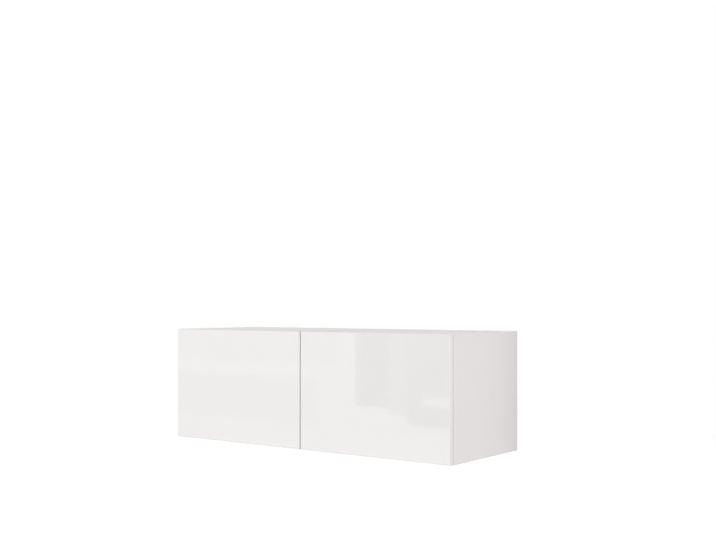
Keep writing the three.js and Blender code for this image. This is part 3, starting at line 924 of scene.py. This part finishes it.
class CONSOLE_OT_hangers(bpy.types.Operator):
    """Builds the hangers' covers, hooks and screws, and finishes their housings"""

    bl_idname = "console.hangers"
    bl_label = "Cabinet hangers"

    def execute(self, context):
        sizes = context.scene.console_sizes
        head = screw_head(sizes)
        for word, side in SIDES.items():
            self.add_cover(f"{word}_hanger_cover", side, sizes)
            self.add_hook(f"{word}_hanger_hook", sizes)
            self.finish_housing(f"{word}_hanger_housing", head, sizes)
        return {"FINISHED"}

    def add_cover(self, node, side, sizes):
        low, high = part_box(node)
        inner = low.x if side > 0 else high.x
        cover = add_block(f"{node}_cap", low, high)
        round_edges(
            cover, sizes.cover_radius,
            lambda middle, way: abs(middle.x - inner) < NEAR or abs(middle.y - low.y) < NEAR, steps=5,
        )
        wall = sizes.cover_wall
        room_low, room_high = low + Vector((0, wall, wall)), high + Vector((0, OVERRUN, -wall))
        room_low.x += wall if side > 0 else -OVERRUN
        room_high.x += OVERRUN if side > 0 else -wall
        cut(cover, add_block("room", room_low, room_high))
        dress(smooth(cover), node, "White plastic")

    def add_hook(self, node, sizes):
        low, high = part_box(node)
        finger, under = sizes.hook_finger, high.z - sizes.hook_height
        outline = [
            (low.y, under), (high.y - finger, under), (high.y - finger, low.z),
            (high.y, low.z), (high.y, high.z), (low.y, high.z),
        ]
        hook = draw_outline(f"{node}_blade", outline, low.x, high.x)
        round_edges(hook, finger, on_lines((high.y, high.z)), steps=5)
        dress(smooth(soften(hook, sizes.metal_radius)), node, "Cast zinc")

    def finish_housing(self, node, head, sizes):
        coat(node, finish_of("Grey plastic"))
        low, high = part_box(node)
        across, depth = (low.x + high.x) / 2, low.y + sizes.hanger_well
        seats = [(across, depth, low.z + share * (high.z - low.z)) for share in HANGER_SCREW_SHARES]
        add_screws(head, node, seats, -AXES["Y"], first=3)


# Flaps and their fittings

def hinge_recess(hinge, sizes):
    """The room that one hinge cup takes in the back of its front"""
    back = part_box(f"{hinge}_hinge_cup")[1].y
    low, high = grown(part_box(f"{hinge}_hinge_cup"), sizes.fit)
    middle = (low.x + high.x) / 2
    half, corner = sizes.cup_width / 2 + sizes.fit, sizes.cup_corner + sizes.fit
    start, end, reach = middle - half, middle + half, back + OVERRUN
    seat = back - sizes.flange - sizes.fit
    cup = add_block("cup_recess", (start, low.y, low.z), (end, reach, high.z), "Y", corner)
    flange = add_block("flange_recess", (low.x, seat, low.z), (high.x, reach, high.z), "Y", corner)
    return join(cup, flange)


class CONSOLE_OT_fronts(bpy.types.Operator):
    """Builds the two lacquered fronts, rounded and recessed for their hinge cups"""

    bl_idname = "console.fronts"
    bl_label = "Fronts"

    def execute(self, context):
        sizes = context.scene.console_sizes
        for word in SIDES:
            node = f"{word}_flap"
            low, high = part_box(node)
            front = add_block(f"{node}_front", low, high)
            round_edges(front, sizes.lower_radius, on_lines((high.y, low.z)), steps=8)
            round_edges(front, sizes.front_radius, on_plane("Y", low.y), steps=6)
            round_edges(front, sizes.back_radius, on_plane("Y", high.y), steps=3)
            cut(front, *(hinge_recess(hinge, sizes) for hinge in FLAP_ENDS if hinge.startswith(word)))
            dress(smooth(front), node, "High-gloss lacquer")
            # The rounded rims take the half-matt edge, whose darker tone is painted shade
            give_faces(front, "Half-matt edge", round_rim(low, high, sizes.lower_radius))
            give_faces(front, "Matt laminate", facing_back(high.y))
        return {"FINISHED"}


def pin_bore(hinge, centre, sizes):
    """The bore for a hinge's pin, as long as the pin"""
    low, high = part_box(f"{hinge}_hinge_pin")
    return add_disc("bore", centre, "X", (high.z - low.z) / 2 + sizes.fit, low.x, high.x, SLIM_ROUND)


class CONSOLE_OT_hinges(bpy.types.Operator):
    """Builds the four flap hinges: cup, pin, cranked arm, mounting plate and screws"""

    bl_idname = "console.hinges"
    bl_label = "Flap hinges"

    def execute(self, context):
        sizes = context.scene.console_sizes
        first = FLAP_ENDS[0]
        centre = middle_of(f"{first}_hinge_pin")
        makers = {"cup": self.add_cup, "pin": self.add_pin, "arm": self.add_arm, "plate": self.add_plate}
        for kind, maker in makers.items():
            mesh = take_mesh(smooth(maker(first, centre, sizes)))
            for hinge in FLAP_ENDS:
                node = f"{hinge}_hinge_{kind}"
                step = Matrix.Translation(middle_of(f"{hinge}_hinge_pin") - centre)
                finish = "Cast zinc" if kind == "plate" else "Nickel-plated steel"
                dress(add_copy(f"{node}_stamping", mesh, step), node, finish)
        head = screw_head(sizes)
        for number, hinge in enumerate(FLAP_ENDS):
            self.add_hinge_screws(number, hinge, head, sizes)
        return {"FINISHED"}

    def add_cup(self, hinge, centre, sizes):
        low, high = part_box(f"{hinge}_hinge_cup")
        half, wall, corner = sizes.cup_width / 2, sizes.cup_wall, sizes.cup_corner
        start, end = centre.x - half, centre.x + half
        cup = add_block("cup", (start, low.y, low.z), (end, high.y, high.z), "Y", corner)
        join(cup, add_block("flange", (low.x, high.y - sizes.flange, low.z), high, "Y", corner))
        inner = half - wall
        room_low = (centre.x - inner, low.y + wall, low.z + wall)
        room_high = (centre.x + inner, high.y + OVERRUN, high.z - wall)
        cut(cup, add_block("hollow", room_low, room_high, "Y", corner - wall))
        eye = centre.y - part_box(f"{hinge}_hinge_arm")[0].y
        for side in SIDES.values():
            near = centre.x + side * (sizes.eye_width / 2 + sizes.fit)
            span = sorted((near, near + side * sizes.lug))
            join(cup, join(*lug_parts(low.y + wall / 2, centre, eye, span)))
        cut(cup, pin_bore(hinge, centre, sizes))
        return soften(cup, sizes.metal_radius * CUP_SOFTNESS)

    def add_pin(self, hinge, centre, sizes):
        low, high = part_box(f"{hinge}_hinge_pin")
        pin = add_disc("pin", centre, "X", (high.z - low.z) / 2, low.x, high.x, SLIM_ROUND)
        return soften(pin, sizes.metal_radius)

    def add_arm(self, hinge, centre, sizes):
        low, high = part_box(f"{hinge}_hinge_arm")
        plate_low, plate_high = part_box(f"{hinge}_hinge_plate")
        under, half = plate_high.z, sizes.eye_width / 2
        thickness = high.z - under
        foot = plate_low.y + (plate_high.y - high.y)
        arm = add_block("arm", (low.x, foot, under), high, "Z", sizes.plate_corner)
        start, end = centre.x - half, centre.x + half
        bridge_low = (start, low.y + thickness / 2, under)
        crank = join(
            add_block("neck", (start, low.y, centre.z), (end, low.y + thickness, high.z)),
            add_block("bridge", bridge_low, (end, foot + sizes.plate_corner, high.z)),
        )
        round_edges(crank, sizes.arm_corner, on_lines((low.y, high.z)), steps=6)
        join(arm, crank, add_disc("eye", centre, "X", centre.y - low.y, start, end))
        width = sizes.adjust_slot / 2
        slot_half = Vector((sizes.adjust_slot, width, OVERRUN))
        middle = Vector((centre.x, (plate_low.y + plate_high.y) / 2, high.z))
        slot = add_block("adjust_slot", middle - slot_half, middle + slot_half, "Z", width * SLOT_END)
        cut(arm, slot, pin_bore(hinge, centre, sizes))
        return soften(arm, sizes.metal_radius)

    def add_plate(self, hinge, centre, sizes):
        plate = add_block("plate", *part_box(f"{hinge}_hinge_plate"), "Z", sizes.plate_corner)
        return soften(plate, sizes.metal_radius)

    def add_hinge_screws(self, number, hinge, head, sizes):
        """Two screws beside the cup and two on the arm, each pair turned in its own steps"""
        cup_low, cup_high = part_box(f"{hinge}_hinge_cup")
        centre = (cup_low + cup_high) / 2
        ear = (cup_high.x - cup_low.x + sizes.cup_width) / 4
        depth = cup_high.y - sizes.metal_radius
        seats = [(centre.x + side * ear, depth, centre.z) for side in SIDES.values()]
        add_screws(head, f"{hinge}_hinge_cup", seats, AXES["Y"], first=2 * number)
        plate_low, plate_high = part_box(f"{hinge}_hinge_plate")
        half = (plate_high.y - plate_low.y) / 2 - sizes.plate_screw_inset
        middle, top = (plate_low.y + plate_high.y) / 2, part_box(f"{hinge}_hinge_arm")[1].z
        seats = [(centre.x, middle + side * half, top) for side in SIDES.values()]
        add_screws(head, f"{hinge}_hinge_arm", seats, AXES["Z"], first=3 * number)


def inner_face(word):
    """How far the inner face of a side panel lies from the console's middle"""
    return min(abs(corner.x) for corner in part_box(f"{word}_side_panel"))


def inwards(word, *depths):
    """Places along X at depths from a side panel's inner face, in rising order"""
    return sorted(SIDES[word] * (inner_face(word) - depth) for depth in depths)


def distances(word, node):
    """How near and how far a node lies from a side panel's inner face"""
    return sorted(inner_face(word) - abs(corner.x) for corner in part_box(node))


class CONSOLE_OT_stays(bpy.types.Operator):
    """Builds the two flap stays: stud plate, nut, slotted arm and bracket, with their screws"""

    bl_idname = "console.stays"
    bl_label = "Flap stays"

    def execute(self, context):
        sizes = context.scene.console_sizes
        head = screw_head(sizes)
        for word in SIDES:
            pin = Vector(JOINT[f"{word}_stay_pivot"]["pos_m"])
            stud = middle_of(f"{word}_stay_nut")
            self.add_stud(word, stud, head, sizes)
            self.add_nut(word, stud, sizes)
            self.add_arm(word, pin, stud, sizes)
            self.add_bracket(word, pin, head, sizes)
        return {"FINISHED"}

    def add_stud(self, word, stud, head, sizes):
        node = f"{word}_stay_stud"
        low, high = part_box(node)
        sheet, corner = sizes.stay_sheet, sizes.stay_corner
        near, far = inwards(word, 0, sheet)
        plate = add_block(f"{node}_plate", (near, low.y, low.z), (far, high.y, high.z), "X", corner)
        shoulder = inwards(word, sheet / 2, distances(word, f"{word}_stay_arm")[0] - sizes.fit)
        shank = inwards(word, sheet / 2, distances(word, node)[1])
        join(
            plate, add_disc("shoulder", stud, "X", sizes.stud_shoulder, *shoulder),
            add_disc("stud", stud, "X", sizes.stud, *shank),
        )
        dress(smooth(soften(plate, sizes.metal_radius)), node, "Nickel-plated steel")
        face = inwards(word, sheet)[0]
        reach = (high.z - low.z) / 2 - sizes.stay_screw_inset
        seats = [(face, stud.y, stud.z + side * reach) for side in SIDES.values()]
        add_screws(head, node, seats, -SIDES[word] * AXES["X"])

    def add_nut(self, word, stud, sizes):
        node = f"{word}_stay_nut"
        low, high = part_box(node)
        radius = max(high.y - low.y, high.z - low.z) / 2
        nut = add_disc(f"{node}_hexagon", stud, "X", radius, low.x, high.x, NUT_SIDES)
        open_end = distances(word, node)[0] - OVERRUN
        blind_end = distances(word, f"{word}_stay_stud")[1] + sizes.fit
        bore = inwards(word, open_end, blind_end)
        cut(nut, add_disc("bore", stud, "X", sizes.stud + sizes.fit, *bore, SMALL_ROUND))
        dress(smooth(soften(nut, sizes.metal_radius * 2, steps=3)), node, "Cast zinc")

    def add_arm(self, word, pin, stud, sizes):
        """The slotted strap; pin and stud lie on a circle round the hinge, and span is its open chord"""
        node = f"{word}_stay_arm"
        near, far = inwards(word, *distances(word, node))
        start, end = near - OVERRUN, far + OVERRUN
        hinge = Vector(JOINT[f"{word}_flap_hinge"]["pos_m"])
        reach = math.hypot(pin.y - hinge.y, pin.z - hinge.z)
        closed = math.hypot(stud.y - pin.y, stud.z - pin.z)
        lead = 2 * math.asin(closed / 2 / reach)
        travel = math.radians(JOINT[f"{word}_flap_hinge"]["range_deg"][1])
        span = 2 * reach * math.sin((lead + travel) / 2)
        half, slot = sizes.stay_arm, sizes.stud + sizes.slot_gap
        ends = (near, -half, -half), (far, span + half, half)
        arm = add_block(f"{node}_strap", *ends, "X", half * STRAP_END, steps=10)
        ends = (start, closed - sizes.slot_room - slot, -slot), (end, span + slot, slot)
        eye = add_disc("eye", (0, 0, 0), "X", sizes.stay_pin + sizes.fit, start, end, SMALL_ROUND)
        cut(arm, add_block("slot", *ends, "X", slot * STRAP_END, steps=8), eye)
        soften(arm, sizes.metal_radius)
        tilt = Matrix.Rotation(math.atan2(stud.z - pin.z, stud.y - pin.y), 4, "X")
        arm.matrix_world = Matrix.Translation((0, pin.y, pin.z)) @ tilt
        dress(smooth(settle(arm)), node, "Nickel-plated steel")

    def add_bracket(self, word, pin, head, sizes):
        node = f"{word}_stay_bracket"
        low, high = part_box(node)
        near, far = distances(word, node)
        sheet, inset = sizes.stay_sheet, sizes.stay_screw_inset
        foot_end = low.y + sheet
        bracket = add_block(f"{node}_foot", low, (high.x, foot_end, high.z), "Y", sizes.stay_corner)
        join(bracket, *lug_parts(low.y, pin, sizes.stay_arm, inwards(word, near, near + sheet)))
        rivet = distances(word, f"{word}_stay_arm")[1] + sizes.fit
        shank = inwards(word, near + sheet / 2, rivet + sheet / 2)
        rivet_head = inwards(word, rivet, rivet + sheet)
        join(
            bracket, add_disc("shank", pin, "X", sizes.stay_pin, *shank, SMALL_ROUND),
            add_disc("rivet_head", pin, "X", sizes.stay_head, *rivet_head, SMALL_ROUND),
        )
        dress(smooth(soften(bracket, sizes.metal_radius)), node, "Nickel-plated steel")
        middle, reach = (near + sheet + far) / 2, (high.z - low.z) / 2 - inset
        places = ((middle, reach), (middle, -reach), (far - inset, 0))
        seats = [(inwards(word, depth)[0], foot_end, pin.z + rise) for depth, rise in places]
        add_screws(head, node, seats, AXES["Y"], first=5)


class CONSOLE_OT_latches(bpy.types.Operator):
    """Builds the two push latches: housing, plunger with its magnet, and the strike on the flap"""

    bl_idname = "console.latches"
    bl_label = "Push latches"

    def execute(self, context):
        sizes = context.scene.console_sizes
        head = screw_head(sizes)
        for word in SIDES:
            self.add_housing(word, head, sizes)
            self.add_plunger(f"{word}_latch_plunger", sizes)
            self.add_strike(f"{word}_latch_strike", sizes)
        return {"FINISHED"}

    def add_housing(self, word, head, sizes):
        node = f"{word}_latch_housing"
        low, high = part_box(node)
        plunger_low, plunger_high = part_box(f"{word}_latch_plunger")
        centre = (plunger_low + plunger_high) / 2
        housing = add_block(f"{node}_body", low, high)
        round_edges(
            housing, sizes.latch_corner,
            lambda middle, way: abs(way.y) > ALONG and abs(middle.z - low.z) < NEAR, steps=5,
        )
        radius = (plunger_high.x - plunger_low.x) / 2 + sizes.fit
        end = plunger_high.y + sizes.plunger_room
        cut(housing, add_disc("bore", centre, "Y", radius, low.y - OVERRUN, end))
        dress(smooth(soften(housing, sizes.metal_radius)), node, "Grey plastic")
        seats = [(centre.x, low.y + share * (high.y - low.y), low.z) for share in LATCH_SCREW_SHARES]
        add_screws(head, node, seats, -AXES["Z"], first=9)

    def add_plunger(self, node, sizes):
        low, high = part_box(node)
        radius, tip = (high.x - low.x) / 2, sizes.plunger_tip
        magnet, depth = radius * MAGNET_SHARE, tip * MAGNET_DEPTH
        profile = [
            (0, low.y + depth), (magnet, low.y + depth), (magnet, low.y), (radius - tip, low.y),
            (radius, low.y + tip), (radius, high.y), (0, high.y),
        ]
        centre = (low + high) / 2
        dress(smooth(turn_profile(f"{node}_rod", profile, centre)), node, "White plastic")
        front = low.y + tip * MAGNET_SINK
        disc = add_disc(f"{node}_magnet", centre, "Y", magnet - NEAR, front, low.y + depth, SMALL_ROUND)
        soften(disc, tip * MAGNET_ROUNDING)
        dress(smooth(disc), node, "Nickel-plated steel", stands_for=False)

    def add_strike(self, node, sizes):
        low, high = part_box(node)
        centre, radius = (low + high) / 2, (high.x - low.x) / 2
        strike = add_disc(f"{node}_disc", centre, "Y", radius, low.y, high.y)
        floor, sink = low.y + (high.y - low.y) * SINK_FLOOR, radius * SINK_SHARE
        cut(strike, add_disc("sink", centre, "Y", sink, floor, high.y + OVERRUN, SMALL_ROUND))
        dress(smooth(soften(strike, sizes.metal_radius / 2)), node, "Nickel-plated steel")


class CONSOLE_OT_bumpers(bpy.types.Operator):
    """Builds the four domed bumpers in the flaps' upper corners"""

    bl_idname = "console.bumpers"
    bl_label = "Bumpers"

    def execute(self, context):
        for place in FLAP_ENDS:
            node = f"{place}_bumper"
            low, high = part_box(node)
            radius, height = (high.x - low.x) / 2, high.y - low.y
            turns = [math.pi / 2 * step / DOME_STEPS for step in range(DOME_STEPS)]
            dome = [(radius * math.cos(turn), low.y + height * math.sin(turn)) for turn in turns]
            profile = [(0, low.y), *dome, (0, high.y)]
            bumper = turn_profile(f"{node}_dome", profile, (low + high) / 2, SMALL_ROUND)
            dress(smooth(bumper), node, "Clear pad")
        return {"FINISHED"}


# Stage

def mix_shaders(tree, share, first, second):
    """Mixes two shaders; a share and a shader are each given as a node and its output"""
    mix = add_node(tree, "ShaderNodeMixShader")
    wire(tree, (*share, mix, "Fac"), (*first, mix, 1), (*second, mix, 2))
    return mix, "Shader"


def pale_mix(tree, lit, pale):
    """The pale shader for the camera, reflections and glass, and the lit one for all other light"""
    path = add_node(tree, "ShaderNodeLightPath")
    seen = path, "Is Camera Ray"
    for ray in ("Is Glossy Ray", "Is Transmission Ray"):
        either = add_node(tree, "ShaderNodeMath", operation="MAXIMUM")
        wire(tree, (*seen, either, 0), (path, ray, either, 1))
        seen = either, "Value"
    return mix_shaders(tree, seen, lit, pale)


class CONSOLE_OT_stage(bpy.types.Operator):
    """Adds the camera, the pale floor and surroundings, and the soft lamps"""

    bl_idname = "console.stage"
    bl_label = "Camera, floor and lamps"

    def execute(self, context):
        stage = context.scene.console_stage
        context.scene.view_settings.view_transform = "Standard"
        self.add_camera(context.scene, stage)
        self.add_surroundings(context.scene, stage)
        self.add_floor(stage)
        for name, lamp in LAMPS.items():
            self.add_lamp(name, **lamp)
        for name, panel in PANELS.items():
            self.add_panel(name, **panel).visible_diffuse = False
        for name, flag in FLAGS.items():
            self.add_panel(name, **flag).visible_glossy = False
        return {"FINISHED"}

    def add_camera(self, scene, stage):
        deselect_all()
        turn = (math.pi / 2, 0, stage.camera_turn)
        bpy.ops.object.camera_add(location=stage.camera_place, rotation=turn)
        camera = named("photo_camera")
        camera.data.sensor_fit = "HORIZONTAL"
        camera.data.lens = FOCAL_PIXELS / PHOTO_WIDTH * camera.data.sensor_width
        camera.data.shift_x = (PHOTO_WIDTH / 2 - CENTRE_PIXEL) / PHOTO_WIDTH
        camera.data.shift_y = (HORIZON_PIXEL - PHOTO_HEIGHT / 2) / PHOTO_WIDTH
        scene.camera = camera

    def add_surroundings(self, scene, stage):
        world = bpy.data.worlds.new("Pale surroundings")
        world.use_nodes = True
        tree = world.node_tree
        room = set_node(tree.nodes["Background"], color=WHITE, strength=stage.ambient)
        pale = add_node(tree, "ShaderNodeBackground", color=WHITE)
        shown = pale_mix(tree, (room, "Background"), (pale, "Background"))
        wire(tree, (*shown, tree.nodes["World Output"], "Surface"))
        scene.world = world

    def add_floor(self, stage):
        """The floor, lit in the middle, plain white far out, and clear from below"""
        deselect_all()
        level = cad_box[0].z - stage.floor_drop
        bpy.ops.mesh.primitive_plane_add(size=stage.floor_size, location=(0, 0, level))
        floor = named("studio_floor")
        paint, tree = new_material("Studio floor")
        tone = (FLOOR_TONE, FLOOR_TONE, FLOOR_TONE, 1)
        surface = set_node(tree.nodes["Principled BSDF"], base_color=tone, roughness=FLOOR_ROUGHNESS)
        glow = add_node(tree, "ShaderNodeEmission", strength=stage.floor_glow)
        lifted = add_node(tree, "ShaderNodeAddShader")
        white = add_node(tree, "ShaderNodeEmission", strength=1.0)
        place = add_node(tree, "ShaderNodeTexCoord")
        reach = add_node(tree, "ShaderNodeVectorMath", operation="LENGTH")
        away = add_node(tree, "ShaderNodeMapRange", from_min=FLOOR_FADE[0], from_max=FLOOR_FADE[1])
        wire(
            tree,
            (surface, "BSDF", lifted, 0), (glow, "Emission", lifted, 1),
            (place, "Object", reach, 0), (reach, "Value", away, "Value"),
        )
        faded = mix_shaders(tree, (away, "Result"), (lifted, "Shader"), (white, "Emission"))
        shown = pale_mix(tree, (surface, "BSDF"), faded)
        under = add_node(tree, "ShaderNodeNewGeometry")
        clear = add_node(tree, "ShaderNodeBsdfTransparent")
        one_sided = mix_shaders(tree, (under, "Backfacing"), shown, (clear, "BSDF"))
        wire(tree, (*one_sided, tree.nodes["Material Output"], "Surface"))
        floor.data.materials.append(paint)

    def add_lamp(self, name, place, size, power, in_gloss):
        """A square lamp that faces the middle of the console"""
        place = Vector(place)
        facing = ((cad_box[0] + cad_box[1]) / 2 - place).to_track_quat("-Z", "Y").to_euler()
        deselect_all()
        bpy.ops.object.light_add(type="AREA", location=place, rotation=facing)
        lamp = named(name)
        lamp.data.size = size
        lamp.data.energy = power
        lamp.visible_camera = False
        lamp.visible_glossy = in_gloss

    def add_panel(self, name, across, up, depth, tone):
        """An upright panel of one tone that the camera doesn't show"""
        deselect_all()
        middle = (sum(across) / 2, depth, sum(up) / 2)
        bpy.ops.mesh.primitive_plane_add(size=1.0, location=middle, rotation=(math.pi / 2, 0, 0))
        panel = named(name)
        panel.scale = (across[1] - across[0], up[1] - up[0], 1)
        settle(panel)
        paint, tree = new_material(f"Tone of {name}")
        glow = add_node(tree, "ShaderNodeEmission", color=(tone, tone, tone, 1))
        wire(tree, (glow, "Emission", tree.nodes["Material Output"], "Surface"))
        panel.data.materials.append(paint)
        panel.visible_camera = False
        panel.visible_transmission = False
        panel.visible_shadow = False
        return panel


# Panel and registration

PIECE_OPERATORS = (
    CONSOLE_OT_stage,
    CONSOLE_OT_boards,
    CONSOLE_OT_cam_locks,
    CONSOLE_OT_back,
    CONSOLE_OT_rail,
    CONSOLE_OT_hangers,
    CONSOLE_OT_fronts,
    CONSOLE_OT_hinges,
    CONSOLE_OT_stays,
    CONSOLE_OT_latches,
    CONSOLE_OT_bumpers,
)
SETTINGS = {
    "console_sizes": ConsoleSizes,
    "console_colours": ConsoleColours,
    "console_stage": ConsoleStage,
}


class CONSOLE_PT_pieces(bpy.types.Panel):
    """Lists the console's pieces in the order in which they are built"""

    bl_idname = "CONSOLE_PT_pieces"
    bl_label = "Media Console"
    bl_space_type = "VIEW_3D"
    bl_region_type = "UI"
    bl_category = "Console"

    def draw(self, context):
        column = self.layout.column()
        for operator in PIECE_OPERATORS:
            column.operator(operator.bl_idname)


def register():
    for group in SETTINGS.values():
        bpy.utils.register_class(group)
    for name, group in SETTINGS.items():
        setattr(bpy.types.Scene, name, PointerProperty(type=group))
    for operator in PIECE_OPERATORS:
        bpy.utils.register_class(operator)
    bpy.utils.register_class(CONSOLE_PT_pieces)


def unregister():
    bpy.utils.unregister_class(CONSOLE_PT_pieces)
    for operator in reversed(PIECE_OPERATORS):
        bpy.utils.unregister_class(operator)
    for name in SETTINGS:
        delattr(bpy.types.Scene, name)
    for group in SETTINGS.values():
        bpy.utils.unregister_class(group)


def main():
    """Builds everything in order"""
    register()
    for operator in PIECE_OPERATORS:
        group, name = operator.bl_idname.split(".")
        getattr(getattr(bpy.ops, group), name)()


if __name__ == "__main__":
    main()
